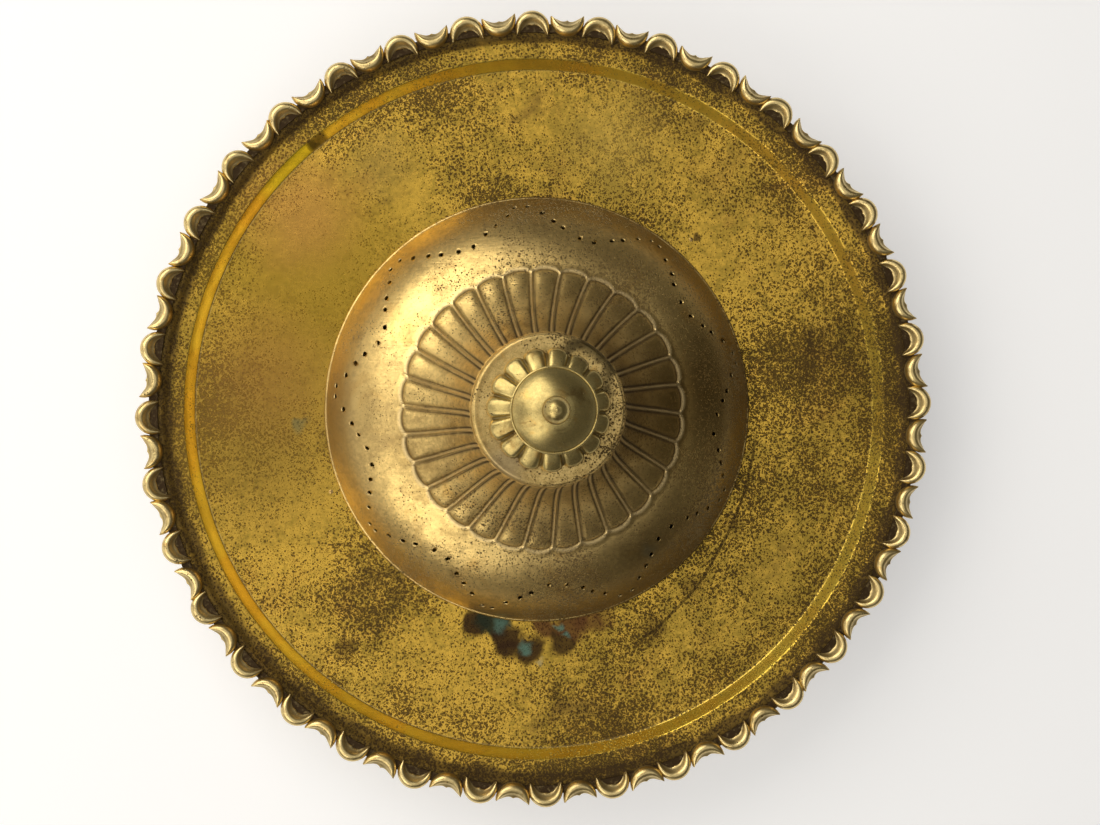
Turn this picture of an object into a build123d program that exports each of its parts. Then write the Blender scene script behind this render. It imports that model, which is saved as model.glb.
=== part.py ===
from build123d import *
from math import cos, radians, sin
import os

os.makedirs("parts", exist_ok=True)

# A lidded brass brazier: a wide round tray with a cast crescent border, an ember pan that
# hangs in the middle of the tray, and a pierced dome lid with a turned finial.
# Millimetres, +Z up, origin on the floor under the middle of the tray.

# Tray
field_top = 70.0            # top of the flat field above the floor
tray_sheet = 1.5
pan_opening_radius = 112.0
step_inner_radius = 258.5   # foot of the step that rings the field
step_outer_radius = 265.0
step_height = 6.2
flange_radius = 277.5
flange_height = 7.2
lip_inner_radius = 281.5
lip_radius = 290.5
lip_height = 11.0
tray_bend = 2.2             # bend radius of the pressed tray

# Cast border of alternating crescents
border_outer_radius = 300.0
border_inner_radius = 281.5
crescent_radius = 11.9
crescent_height = 6.5
crescent_chamfer = 0.6
crescent_step = 5.0         # degrees from one crescent to the next
backing_inner_radius = 284.0
backing_outer_radius = 292.5
backing_height = 1.6
pairs_per_segment = 5
segment_count = 7
first_arch_angle = 321.0
rivet_places = (1, 3, 4)    # which inward crescents of a segment are riveted
border_rivet_circle = 286.6
border_rivet_radius = 1.5

# Plugged holes in the field: angle and distance from the middle
plug_places = ((48.0, 175.0), (201.6, 168.6))
plug_radius = 2.6

# Feet
foot_count = 3
foot_first_angle = 90.0
foot_circle = 133.5
foot_flange_radius = 18.0
foot_pad_radius = 13.0
stud_radius = 3.0
washer_radius = 8.0
washer_thickness = 1.5
nut_across_flats = 10.0
nut_thickness = 5.0

# Ember pan
pan_sheet = 1.5
pan_flange_radius = 124.0
pan_wall_radius = 109.0
pan_floor_radius = 72.0
pan_depth = 56.0
handle_width = 40.0
handle_height = 26.0
handle_bend = 10.0
handle_wire_radius = 2.6
handle_circle = 115.0
handle_tab_radius = 4.5
handle_tab_reach = 10.0     # from the wire out to the tab's rivet
handle_tab_thickness = 2.0
pan_rivet_radius = 1.8

# Lid
lid_gap = 0.3               # air under the resting lid
lid_sheet = 1.2
lid_radius = 160.0
rim_wire_radius = 1.6
wall_middle = (141.0, 31.2)
shoulder_radius = 104.0
shoulder_height = 48.5
flute_middle = (74.5, 69.0)
plateau_radius = 54.0
plateau_edge_height = 118.0
plateau_height = 122.2
flute_count = 30
flute_ridge_radius = 1.1
festoon_count = 9
festoon_first_angle = 35.0
vent_radius = 1.4
# angle from the middle of a festoon, and way up the wall
vent_half_festoon = ((2.7, 0.63), (7.9, 0.54), (11.0, 0.46), (14.8, 0.35), (18.3, 0.22))

# Finial
bore_clearance = 0.05
rod_radius = 3.0
collar_radius = 43.0
collar_height = 13.0
petal_count = 15
knob_radius = 28.8
knob_height = 185.0         # height of the knob's edge above the field
tip_radius = 7.4
tip_height = 198.5          # height of the tip ball's middle above the field


def write(shape, node):
    export_step(shape, f"parts/{node}.step")


def turned(*outline):
    """A solid of revolution about Z from an outline of (radius, height) points."""
    return revolve(Plane.XZ * make_face(Polyline(*outline, close=True)), Axis.Z)


def pressed(profile, thickness, side):
    """A sheet-metal shell of revolution from the profile of one of its faces."""
    outline = offset(profile, amount=thickness, side=side, closed=True)
    return revolve(Plane.XZ * make_face(outline), Axis.Z)


def polar(angle, distance, height=0.0):
    return Location((distance * cos(radians(angle)), distance * sin(radians(angle)), height), (0, 0, angle))


def peg(radius, low, high):
    return Pos(0, 0, (low + high) / 2) * Cylinder(radius, high - low)


def hexagon_nut(height):
    """A hexagon nut that stands on the given height, bored for its thread."""
    blank = extrude(RegularPolygon(nut_across_flats / 2, 6, major_radius=False), nut_thickness)
    return Pos(0, 0, height) * (blank - peg(stud_radius + bore_clearance, 0, nut_thickness))


def washer(height):
    return peg(washer_radius, height, height + washer_thickness) - peg(
        stud_radius + bore_clearance, height, height + washer_thickness)


foot_angles = [foot_first_angle + 360 / foot_count * index for index in range(foot_count)]


def rivet_angles(segment):
    first = first_arch_angle - crescent_step - segment * pairs_per_segment * 2 * crescent_step
    return [first - place * 2 * crescent_step for place in rivet_places]


filler_rivet_angle = first_arch_angle + crescent_step
all_rivet_angles = [angle for segment in range(segment_count) for angle in rivet_angles(segment)]
all_rivet_angles.append(filler_rivet_angle)


# --- Tray -------------------------------------------------------------------------------
def make_tray():
    face = FilletPolyline(
        (pan_opening_radius, field_top),
        (step_inner_radius, field_top),
        (step_outer_radius, field_top + step_height),
        (flange_radius, field_top + flange_height),
        (lip_inner_radius, field_top + lip_height),
        (lip_radius, field_top + lip_height),
        radius=tray_bend)
    tray = pressed(face, tray_sheet, Side.RIGHT)
    rivet_hole = peg(border_rivet_radius + bore_clearance, field_top, field_top + 20)
    stud_hole = peg(stud_radius + bore_clearance, 0, field_top + 5)
    holes = [polar(angle, border_rivet_circle) * rivet_hole for angle in all_rivet_angles]
    holes += [polar(angle, foot_circle) * stud_hole for angle in foot_angles]
    holes += [polar(angle, distance) * peg(plug_radius, 0, field_top + 5) for angle, distance in plug_places]
    return tray - holes


def make_tray_plugs():
    low = field_top - tray_sheet
    plug = turned((0, low - 1.2), (plug_radius + 1.4, low - 1.2), (plug_radius + 1.4, low),
                  (plug_radius - bore_clearance, low), (plug_radius - bore_clearance, field_top - 0.5),
                  (plug_radius - 1.0, field_top - 0.5), (plug_radius - 1.0, field_top), (0, field_top + 0.4))
    return Compound(children=[polar(angle, distance) * plug for angle, distance in plug_places])


# --- Border -----------------------------------------------------------------------------
border_base = field_top + lip_height


def arch(angle):
    """An outward crescent, its horns towards the middle of the tray."""
    middle = border_outer_radius - crescent_radius
    plan = Pos(middle, 0) * Circle(crescent_radius) - Pos(middle - 3.6, 0) * Circle(crescent_radius - 3.5)
    plan &= Pos(border_outer_radius - 7.75, 0) * Rectangle(15.5, 30)
    return crescent(plan, angle)


def cup(angle):
    """An inward crescent, its horns pointing outwards."""
    middle = border_inner_radius + crescent_radius
    plan = Pos(middle, 0) * Circle(crescent_radius) - Pos(middle + 8.1, 0) * Circle(crescent_radius - 1.9)
    plan &= Pos(border_inner_radius + 8.3, 0) * Rectangle(16.6, 30)
    return crescent(plan, angle)


def crescent(plan, angle):
    block = extrude(plan, crescent_height)
    block = chamfer(block.faces().sort_by(Axis.Z)[-1].edges(), crescent_chamfer)
    return Pos(0, 0, border_base) * Rot(0, 0, angle) * block


def backing(start, sweep):
    """The thin band that joins a segment's crescents, cut between two angles."""
    ring = Circle(backing_outer_radius) - Circle(backing_inner_radius)
    reach = 2 * border_outer_radius
    wedge = make_face(Polyline(
        (0, 0),
        (reach * cos(radians(start)), reach * sin(radians(start))),
        (reach * cos(radians(start + sweep)), reach * sin(radians(start + sweep))), close=True))
    return Pos(0, 0, border_base) * extrude(ring & wedge, backing_height)


def make_border(first_arch, pairs, rivets):
    """A cast strip of arch and cup pairs that runs clockwise from its first arch."""
    joint_gap = 0.1
    sweep = pairs * 2 * crescent_step - 2 * joint_gap
    strip = backing(first_arch + crescent_step / 2 - joint_gap - sweep, sweep)
    for pair in range(pairs):
        arch_angle = first_arch - pair * 2 * crescent_step
        strip += arch(arch_angle)
        strip += cup(arch_angle - crescent_step)
    rivet_hole = peg(border_rivet_radius + bore_clearance, -1, 10)
    holes = [polar(angle, border_rivet_circle, border_base) * rivet_hole for angle in rivets]
    return strip - holes


def make_border_rivets():
    low = border_base - tray_sheet
    rivet = turned((0, low - 1.4), (2.8, low - 1.4), (2.8, low), (border_rivet_radius, low),
                   (border_rivet_radius, border_base + crescent_height),
                   (0, border_base + crescent_height + 0.5))
    return Compound(children=[polar(angle, border_rivet_circle) * rivet for angle in all_rivet_angles])


# --- Feet -------------------------------------------------------------------------------
def make_foot(angle):
    """A turned foot with a flange under the tray and a stud through it."""
    top = field_top - tray_sheet
    stud_top = field_top + washer_thickness + nut_thickness + 1.5
    edge = Line((0, 0), (foot_pad_radius, 0))
    edge += Spline((foot_pad_radius, 0), (17.0, 9.0), (8.0, 23.0), (12.0, 40.0), (8.5, 58.0),
                   (foot_flange_radius, top - 3))
    edge += Polyline((foot_flange_radius, top - 3), (foot_flange_radius, top), (stud_radius, top),
                     (stud_radius, stud_top), (0, stud_top), (0, 0))
    return polar(angle, foot_circle) * revolve(Plane.XZ * make_face(edge), Axis.Z)


def make_foot_washers():
    return Compound(children=[polar(angle, foot_circle) * washer(field_top) for angle in foot_angles])


def make_foot_nuts():
    nut = hexagon_nut(field_top + washer_thickness)
    return Compound(children=[polar(angle, foot_circle) * nut for angle in foot_angles])


# --- Ember pan --------------------------------------------------------------------------
flange_top = field_top + pan_sheet
handle_angles = (0.0, 180.0)
pan_rivet_spots = [Rot(0, 0, angle) * Pos(handle_circle, side * (handle_width / 2 + handle_tab_reach), 0)
                   for angle in handle_angles for side in (-1, 1)]


def make_ember_pan():
    face = FilletPolyline(
        (0, flange_top - pan_depth),
        (pan_floor_radius, flange_top - pan_depth),
        (pan_wall_radius - 6.0, flange_top - 30.0),
        (pan_wall_radius - pan_sheet, flange_top),
        (pan_flange_radius, flange_top),
        radius=3.0)
    pan = pressed(face, pan_sheet, Side.RIGHT)
    return pan - [spot * peg(pan_rivet_radius + bore_clearance, field_top - 1, flange_top + 1)
                  for spot in pan_rivet_spots]


def make_pan_handle(angle):
    """A wire loop that stands on two riveted tabs on the pan's flange."""
    half = handle_width / 2
    path = FilletPolyline((-half, 0), (-half, handle_height), (half, handle_height), (half, 0),
                          radius=handle_bend)
    loop = sweep(Pos(-half, 0) * Circle(handle_wire_radius), Plane.XZ * path)
    bar = Box(handle_tab_reach, 2 * handle_tab_radius, handle_tab_thickness)
    for side in (-1, 1):
        end = Pos(side * (half + handle_tab_reach), 0)
        loop += Pos(side * (half + handle_tab_reach / 2), 0, handle_tab_thickness / 2) * bar
        loop += end * peg(handle_tab_radius, 0, handle_tab_thickness)
        loop -= end * peg(pan_rivet_radius + bore_clearance, 0, handle_tab_thickness)
    return polar(angle, handle_circle, flange_top) * Rot(0, 0, 90) * loop


def make_pan_rivets():
    tab_top = flange_top + handle_tab_thickness
    rivet = turned((0, field_top), (pan_rivet_radius, field_top), (pan_rivet_radius, tab_top), (3.2, tab_top),
                   (2.0, tab_top + 1.4), (0, tab_top + 1.8))
    return Compound(children=[spot * rivet for spot in pan_rivet_spots])


# --- Lid --------------------------------------------------------------------------------
lid_base = field_top + lid_gap
wall_foot = 2 * rim_wire_radius + 0.1
rod_bore = rod_radius + bore_clearance


def lid_wall():
    """The outer face of the pierced wall, from the rim wire up to the shoulder."""
    return ThreePointArc((lid_radius, wall_foot), wall_middle, (shoulder_radius, shoulder_height))


def flute_slope():
    return ThreePointArc((shoulder_radius, shoulder_height), flute_middle,
                         (plateau_radius, plateau_edge_height))


def lid_brow():
    """The rounded edge of the crown plate, from the fluted slope round to the flat."""
    return ThreePointArc((plateau_radius, plateau_edge_height), (plateau_radius - 1.2, plateau_height - 1.2),
                         (plateau_radius - 4.0, plateau_height))


def inset(curve, way):
    """The point a sheet's thickness inside one of the lid's outer curves."""
    along = curve % way
    return curve @ way + lid_sheet * Vector(-along.Y, along.X)


def lid_shell():
    """The spun sheet from the rim wire up to the top of the fluted slope."""
    wall, slope = lid_wall(), flute_slope()
    inside = ThreePointArc(inset(wall, 0), inset(wall, 0.5), inset(slope, 0))
    inside += ThreePointArc(inset(slope, 0), inset(slope, 0.5), inset(slope, 1))
    ends = Line(wall @ 0, inset(wall, 0)) + Line(slope @ 1, inset(slope, 1))
    return revolve(Plane.XZ * make_face(wall + slope + inside + ends), Axis.Z)


def make_crown_plate():
    """The dished disc brazed over the lid's open neck, bored for the finial's rod."""
    slope, brow = flute_slope(), lid_brow()
    plateau_edge = (plateau_radius - 4.0, plateau_height - lid_sheet)
    outline = brow + ThreePointArc(inset(slope, 1), inset(brow, 0.5), plateau_edge)
    outline += Line(brow @ 0, inset(slope, 1))
    outline += Polyline(brow @ 1, (rod_bore, plateau_height), (rod_bore, plateau_height - lid_sheet),
                        plateau_edge)
    return Pos(0, 0, lid_base) * revolve(Plane.XZ * make_face(outline), Axis.Z)


def flute_ridge(angle):
    """A raised line between two flutes, from the shoulder up to the plateau."""
    path = Plane.XZ * flute_slope().trim(0.02, 0.95)
    section = Plane(path @ 0, z_dir=path % 0) * Circle(flute_ridge_radius)
    return Rot(0, 0, angle) * sweep(section, path)


def vent_drills(side_angle, way_up):
    """Drills square to the wall for the vents at one level, two to a festoon."""
    wall = Plane.XZ * lid_wall()
    along = wall % way_up
    drill = Plane(wall @ way_up, z_dir=(along.Z, 0, -along.X)) * Cylinder(vent_radius, 10)
    middles = [festoon_first_angle + 360 / festoon_count * festoon for festoon in range(festoon_count)]
    return [Rot(0, 0, middle + side * side_angle) * drill for middle in middles for side in (-1, 1)]


def make_dome():
    dome = lid_shell() + [flute_ridge(360 / flute_count * index) for index in range(flute_count)]
    for side_angle, way_up in vent_half_festoon:
        dome -= vent_drills(side_angle, way_up)
    return Pos(0, 0, lid_base) * dome


def make_rim_wire():
    return Pos(0, 0, lid_base + rim_wire_radius) * Torus(lid_radius, rim_wire_radius)


# --- Finial -----------------------------------------------------------------------------
collar_base = lid_base + plateau_height
collar_top = collar_base + collar_height
knob_edge = lid_base + knob_height
knob_base = knob_edge - 14.0
knob_top = knob_edge + 6.5
tip_middle = lid_base + tip_height
inside_top = collar_base - lid_sheet


def lathe(*outline):
    """A turned solid bored for the rod, from a smooth outline of (radius, height) points."""
    low, high = outline[0][1], outline[-1][1]
    edge = Line((rod_bore, low), outline[0]) + Spline(*outline)
    edge += Polyline(outline[-1], (rod_bore, high), (rod_bore, low))
    return revolve(Plane.XZ * make_face(edge), Axis.Z)


def make_petal_collar():
    """A cast collar with a ring of rounded petals that droop towards the plateau."""
    root = 26.0
    petal_radius = collar_radius * sin(radians(180 / petal_count)) * 0.93
    tip = Vector(collar_radius - petal_radius, 0, collar_base + 1.5)
    heel = Vector(root / 2, 0, collar_top - petal_radius - 1.0)
    petal = Pos(tip) * Sphere(petal_radius)
    petal += extrude(Plane(tip, z_dir=heel - tip) * Circle(petal_radius), (heel - tip).length)
    core = turned((0, collar_base), (collar_radius - 6.0, collar_base),
                  (collar_radius - 7.0, collar_base + 3.0), (root, collar_top - 3.0),
                  (root - 5.0, collar_top), (0, collar_top))
    collar = core + [Rot(0, 0, 360 / petal_count * index) * petal for index in range(petal_count)]
    collar &= peg(collar_radius + 1, collar_base, collar_top)
    return collar - peg(rod_bore, collar_base, collar_top)


def make_finial_neck():
    return lathe((15.0, collar_top), (9.0, collar_top + 8.0), (12.5, collar_top + 16.0),
                 (9.0, collar_top + 25.0), (13.0, knob_base))


def make_finial_knob():
    lower = lathe((13.0, knob_base), (18.5, knob_base + 5.5), (25.0, knob_edge - 2.5),
                  (knob_radius, knob_edge))
    upper = lathe((knob_radius - 0.8, knob_edge), (23.5, knob_edge + 3.2), (14.0, knob_edge + 5.6),
                  (6.5, knob_top))
    return lower + upper


def make_finial_tip():
    """A ball on a short foot, with a nipple on top and a blind bore for the rod."""
    foot = peg(5.2, knob_top, knob_top + 2.0)
    nipple = Pos(0, 0, tip_middle + tip_radius) * Sphere(1.7)
    ball = Pos(0, 0, tip_middle) * Sphere(tip_radius)
    return foot + ball + nipple - peg(rod_bore, knob_top - 1.0, tip_middle)


def make_finial_rod():
    return peg(rod_radius, inside_top - washer_thickness - nut_thickness - 2.0, tip_middle - 0.5)


parts = {
    "tray": make_tray(),
    "tray_plugs": make_tray_plugs(),
    "border_filler": make_border(first_arch_angle + 2 * crescent_step, 1, [filler_rivet_angle]),
    "border_rivets": make_border_rivets(),
    "foot_washers": make_foot_washers(),
    "foot_nuts": make_foot_nuts(),
    "ember_pan": make_ember_pan(),
    "pan_rivets": make_pan_rivets(),
    "dome": make_dome(),
    "crown_plate": make_crown_plate(),
    "rim_wire": make_rim_wire(),
    "petal_collar": make_petal_collar(),
    "finial_neck": make_finial_neck(),
    "finial_knob": make_finial_knob(),
    "finial_tip": make_finial_tip(),
    "finial_rod": make_finial_rod(),
    "finial_washer": washer(inside_top - washer_thickness),
    "finial_nut": hexagon_nut(inside_top - washer_thickness - nut_thickness),
}
for segment in range(segment_count):
    first_arch = first_arch_angle - segment * pairs_per_segment * 2 * crescent_step
    parts[f"border_segment_{segment + 1}"] = make_border(first_arch, pairs_per_segment, rivet_angles(segment))
for number, angle in enumerate(foot_angles, 1):
    parts[f"foot_{number}"] = make_foot(angle)
for number, angle in enumerate(handle_angles, 1):
    parts[f"pan_handle_{number}"] = make_pan_handle(angle)

for node, shape in parts.items():
    write(shape, node)
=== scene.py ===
import bmesh
import bpy
import random
from math import atan2, cos, degrees, exp, hypot, pi, radians, sin, sqrt
from mathutils import Matrix, Vector, noise


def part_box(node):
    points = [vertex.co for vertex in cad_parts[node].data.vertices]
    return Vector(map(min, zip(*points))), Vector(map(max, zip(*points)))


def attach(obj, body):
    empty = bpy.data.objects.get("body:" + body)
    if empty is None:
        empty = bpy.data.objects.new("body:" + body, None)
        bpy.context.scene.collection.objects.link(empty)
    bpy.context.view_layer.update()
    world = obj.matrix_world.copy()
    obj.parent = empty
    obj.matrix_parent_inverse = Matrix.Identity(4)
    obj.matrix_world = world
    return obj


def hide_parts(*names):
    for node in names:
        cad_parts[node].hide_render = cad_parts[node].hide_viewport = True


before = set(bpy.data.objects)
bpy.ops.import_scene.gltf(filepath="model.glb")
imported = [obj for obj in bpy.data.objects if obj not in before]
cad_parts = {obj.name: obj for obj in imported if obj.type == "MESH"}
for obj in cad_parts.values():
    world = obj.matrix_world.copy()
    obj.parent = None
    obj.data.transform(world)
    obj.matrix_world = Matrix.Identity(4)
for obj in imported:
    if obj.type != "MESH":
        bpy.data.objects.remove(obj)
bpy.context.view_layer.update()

mm = 0.001
random.seed(7)
scene = bpy.context.scene
scene.view_settings.view_transform = "Standard"

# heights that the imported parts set
traySheet = 1.5 * mm
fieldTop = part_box("tray")[0].z + traySheet
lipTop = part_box("tray")[1].z
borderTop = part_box("border_segment_1")[1].z
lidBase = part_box("rim_wire")[0].z
lidRadius = (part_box("rim_wire")[1].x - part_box("rim_wire")[0].x) / 2 - 1.6 * mm
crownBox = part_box("crown_plate")
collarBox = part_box("petal_collar")
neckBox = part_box("finial_neck")
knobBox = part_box("finial_knob")
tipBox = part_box("finial_tip")


# ---- small helpers for node trees
def newMaterial(name):
    material = bpy.data.materials.new(name)
    material.use_nodes = True
    tree = material.node_tree
    tree.nodes.clear()
    output = tree.nodes.new("ShaderNodeOutputMaterial")
    shader = tree.nodes.new("ShaderNodeBsdfPrincipled")
    tree.links.new(shader.outputs[0], output.inputs[0])
    return material, tree, shader


def setInput(tree, socket, value):
    if isinstance(value, bpy.types.NodeSocket):
        tree.links.new(value, socket)
    elif isinstance(value, (tuple, list)) and len(value) == 3 and socket.type == "RGBA":
        socket.default_value = (*value, 1)
    else:
        socket.default_value = value


def calc(tree, operation, a, b=0.0):
    node = tree.nodes.new("ShaderNodeMath")
    node.operation = operation
    setInput(tree, node.inputs[0], a)
    setInput(tree, node.inputs[1], b)
    return node.outputs[0]


def remap(tree, value, low, high, toLow=0.0, toHigh=1.0):
    node = tree.nodes.new("ShaderNodeMapRange")
    node.interpolation_type = "SMOOTHSTEP"
    for socket, number in zip(node.inputs, (value, low, high, toLow, toHigh)):
        setInput(tree, socket, number)
    return node.outputs[0]


def mixColour(tree, amount, a, b):
    node = tree.nodes.new("ShaderNodeMix")
    node.data_type = "RGBA"
    setInput(tree, node.inputs[0], amount)
    setInput(tree, node.inputs[6], a)
    setInput(tree, node.inputs[7], b)
    return node.outputs[2]


def mixValue(tree, amount, a, b):
    node = tree.nodes.new("ShaderNodeMix")
    setInput(tree, node.inputs[0], amount)
    setInput(tree, node.inputs[2], a)
    setInput(tree, node.inputs[3], b)
    return node.outputs[0]


def noiseOf(tree, vector, scale, detail=4.0, rough=0.55, distortion=0.0):
    node = tree.nodes.new("ShaderNodeTexNoise")
    setInput(tree, node.inputs["Vector"], vector)
    node.inputs["Scale"].default_value = scale
    node.inputs["Detail"].default_value = detail
    node.inputs["Roughness"].default_value = rough
    node.inputs["Distortion"].default_value = distortion
    return node.outputs[0]


def cellsOf(tree, vector, scale):
    node = tree.nodes.new("ShaderNodeTexVoronoi")
    setInput(tree, node.inputs["Vector"], vector)
    node.inputs["Scale"].default_value = scale
    return node.outputs["Distance"]


def stretched(tree, vector, scale, turn=0.0):
    node = tree.nodes.new("ShaderNodeMapping")
    setInput(tree, node.inputs["Vector"], vector)
    node.inputs["Rotation"].default_value = (0, 0, turn)
    node.inputs["Scale"].default_value = scale
    return node.outputs[0]


def place(tree):
    coords = tree.nodes.new("ShaderNodeTexCoord").outputs["Object"]
    split = tree.nodes.new("ShaderNodeSeparateXYZ")
    tree.links.new(coords, split.inputs[0])
    return coords, split.outputs


def distanceTo(tree, coords, centre):
    node = tree.nodes.new("ShaderNodeVectorMath")
    node.operation = "DISTANCE"
    tree.links.new(coords, node.inputs[0])
    node.inputs[1].default_value = centre
    return node.outputs["Value"]


def bumpFrom(tree, height, depth, under=None):
    node = tree.nodes.new("ShaderNodeBump")
    node.inputs["Distance"].default_value = depth
    node.inputs["Strength"].default_value = 1.0
    tree.links.new(height, node.inputs["Height"])
    if under:
        tree.links.new(under, node.inputs["Normal"])
    return node.outputs[0]


# each piece carries painted values per point: grime with painted shade, wear with painted highlight and, on the tray,
# the painted reflection of the step ring
def paintOf(tree, name="grimeAndShade"):
    node = tree.nodes.new("ShaderNodeAttribute")
    node.attribute_name = name
    return node.outputs["Fac"]


# the coordinates pushed about by noise, so that edges become ragged
def wavered(tree, coords, scale, amount):
    node = tree.nodes.new("ShaderNodeTexNoise")
    setInput(tree, node.inputs["Vector"], coords)
    node.inputs["Scale"].default_value = scale
    node.inputs["Detail"].default_value = 6.0
    shift = tree.nodes.new("ShaderNodeVectorMath")
    shift.operation = "MULTIPLY_ADD"
    tree.links.new(node.outputs["Color"], shift.inputs[0])
    shift.inputs[1].default_value = (amount, amount, 0)
    tree.links.new(coords, shift.inputs[2])
    return shift.outputs[0]


markDrift = 0.011


# a mark is a ragged patch: middle in metres, radius, edge, colour and strength
def addMarks(tree, coords, colour, marks):
    ragged = wavered(tree, coords, 60.0, 2 * markDrift)
    for middle, radius, edge, tone, strength in marks:
        centre = (middle[0] + markDrift, middle[1] + markDrift, middle[2])      # the noise pushes one way on average
        reach = remap(tree, distanceTo(tree, ragged, centre), radius - edge, radius + edge, strength, 0.0)
        colour = mixColour(tree, reach, colour, tone)
    return colour


# aged brass: clean metal, an olive bloom, brown stain in patches and dark pits
def agedBrass(name, look, marks=(), pitZones=None):
    material, tree, shader = newMaterial(name)
    coords, axis = place(tree)
    broad = noiseOf(tree, coords, look["patch"], 5.0, 0.6)
    fine = noiseOf(tree, coords, look["patch"] * 9, 6.0, 0.7)
    grit = noiseOf(tree, coords, look["patch"] * 42, 3.0, 0.6)
    bloom = remap(tree, mixValue(tree, 0.3, mixValue(tree, 0.5, broad, fine), grit), 0.42, 0.60)
    colour = mixColour(tree, bloom, look["clean"], look["bloom"])
    stain = remap(tree, noiseOf(tree, coords, look["patch"] * 2.3, 7.0, 0.65, 0.4), 0.54, 0.72)
    colour = mixColour(tree, calc(tree, "MULTIPLY", stain, look["stainAmount"]), colour, look["stain"])
    blush = remap(tree, noiseOf(tree, coords, look["patch"] * 3.1, 5.0, 0.6, 0.8), 0.55, 0.75, 0.0, 0.5)
    colour = mixColour(tree, blush, colour, look["blush"])
    amount = calc(tree, "MULTIPLY_ADD", noiseOf(tree, coords, look["patch"] * 1.6, 6.0, 0.65), 2.2)
    amount.node.inputs[2].default_value = -0.6
    amount = calc(tree, "ADD", amount, look["pits"])
    amount = calc(tree, "ADD", amount, calc(tree, "MULTIPLY", axis[0], look["pitLean"]))
    amount = calc(tree, "SUBTRACT", amount, calc(tree, "MULTIPLY", paintOf(tree, "polishAndReflection"), 0.5))
    if pitZones:
        amount = calc(tree, "ADD", amount, pitZones(tree, axis))
    pit = None
    for scale, weight in ((look["pitScale"], 0.60), (look["pitScale"] * 1.9, 0.52)):          # large and small pits
        cells = cellsOf(tree, coords, scale)
        drop = remap(tree, calc(tree, "SUBTRACT", calc(tree, "MULTIPLY", amount, weight), cells), -0.03, 0.05)
        drop = calc(tree, "MULTIPLY", drop, remap(tree, noiseOf(tree, coords, scale * 1.4, 2.0, 0.6), 0.40, 0.52))
        pit = drop if pit is None else calc(tree, "MAXIMUM", pit, drop)
    colour = mixColour(tree, calc(tree, "MULTIPLY", pit, 0.88), colour, look["pitAndShadeColour"])
    colour = addMarks(tree, coords, colour, marks)
    if look.get("seam"):
        middle, radius, lowX, highY = look["seam"]
        reach = distanceTo(tree, wavered(tree, coords, 25.0, 0.006), middle)
        off = calc(tree, "ABSOLUTE", calc(tree, "SUBTRACT", reach, radius))
        line = remap(tree, off, 0.0005, 0.0016, 0.7, 0.0)
        line = calc(tree, "MULTIPLY", line, remap(tree, axis[0], lowX, lowX + 0.015))
        line = calc(tree, "MULTIPLY", line, remap(tree, axis[1], highY - 0.015, highY, 1.0, 0.0))
        colour = mixColour(tree, line, colour, look["pitAndShadeColour"])
    polishAndReflection = calc(tree, "MULTIPLY", paintOf(tree, "polishAndReflection"), 0.95)             # painted reflection of the lit lid on the polished step ring
    polishAndReflection = calc(tree, "MULTIPLY", polishAndReflection, remap(tree, noiseOf(tree, coords, 9.0, 3.0, 0.6), 0.35, 0.55, 0.6, 1.0))
    polishAndReflection = calc(tree, "MULTIPLY", polishAndReflection, remap(tree, pit, 0.0, 1.0, 1.0, 0.25))
    # a painted highlight, a bright spot on the upper left of the step ring
    paintedGlint = remap(tree, distanceTo(tree, coords, (-0.186, 0.184, 0.073)), 0.014, 0.042, 1.0, 0.0)
    tint = mixColour(tree, remap(tree, noiseOf(tree, coords, 22.0, 3.0, 0.6), 0.4, 0.6), look["polishAndReflection"], look["amber"])
    tint = mixColour(tree, paintedGlint, tint, look["paintedGlint"])
    colour = mixColour(tree, polishAndReflection, colour, tint)
    # painted shade and real grime darken the colour, painted highlight and real wear lighten it
    grimeAndShade = paintOf(tree)
    wearAndHighlight = paintOf(tree, "wearAndHighlight")
    grimeAndShadeBroken = calc(tree, "MULTIPLY", grimeAndShade, remap(tree, fine, 0.25, 0.5, 0.75, 1.0))
    colour = mixColour(tree, grimeAndShadeBroken, colour, look["pitAndShadeColour"])
    colour = mixColour(tree, calc(tree, "MULTIPLY", wearAndHighlight, 0.7), colour, look["wornAndHighlight"])
    setInput(tree, shader.inputs["Base Color"], colour)
    dull = calc(tree, "MAXIMUM", pit, grimeAndShadeBroken)
    setInput(tree, shader.inputs["Metallic"], remap(tree, dull, 0.0, 1.0, 1.0, 0.35))
    shader.inputs["Specular IOR Level"].default_value = 0.15
    rough = remap(tree, mixValue(tree, 0.5, broad, fine), 0.3, 0.7, look["rough"][0], look["rough"][1])
    rough = mixValue(tree, paintOf(tree, "polishAndReflection"), rough, 0.14)
    setInput(tree, shader.inputs["Roughness"], mixValue(tree, dull, rough, 0.7))
    grainPlace = stretched(tree, coords, (1, 14, 1), look["grainTurn"])
    surface = bumpFrom(tree, noiseOf(tree, grainPlace, look["grain"], 5.0, 0.7), look["grainDepth"])
    surface = bumpFrom(tree, calc(tree, "SUBTRACT", 1.0, pit), look["pitDepth"], surface)
    surface = bumpFrom(tree, noiseOf(tree, coords, 45.0, 2.0, 0.5), look["dents"], surface)
    tree.links.new(surface, shader.inputs["Normal"])
    return material


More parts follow.
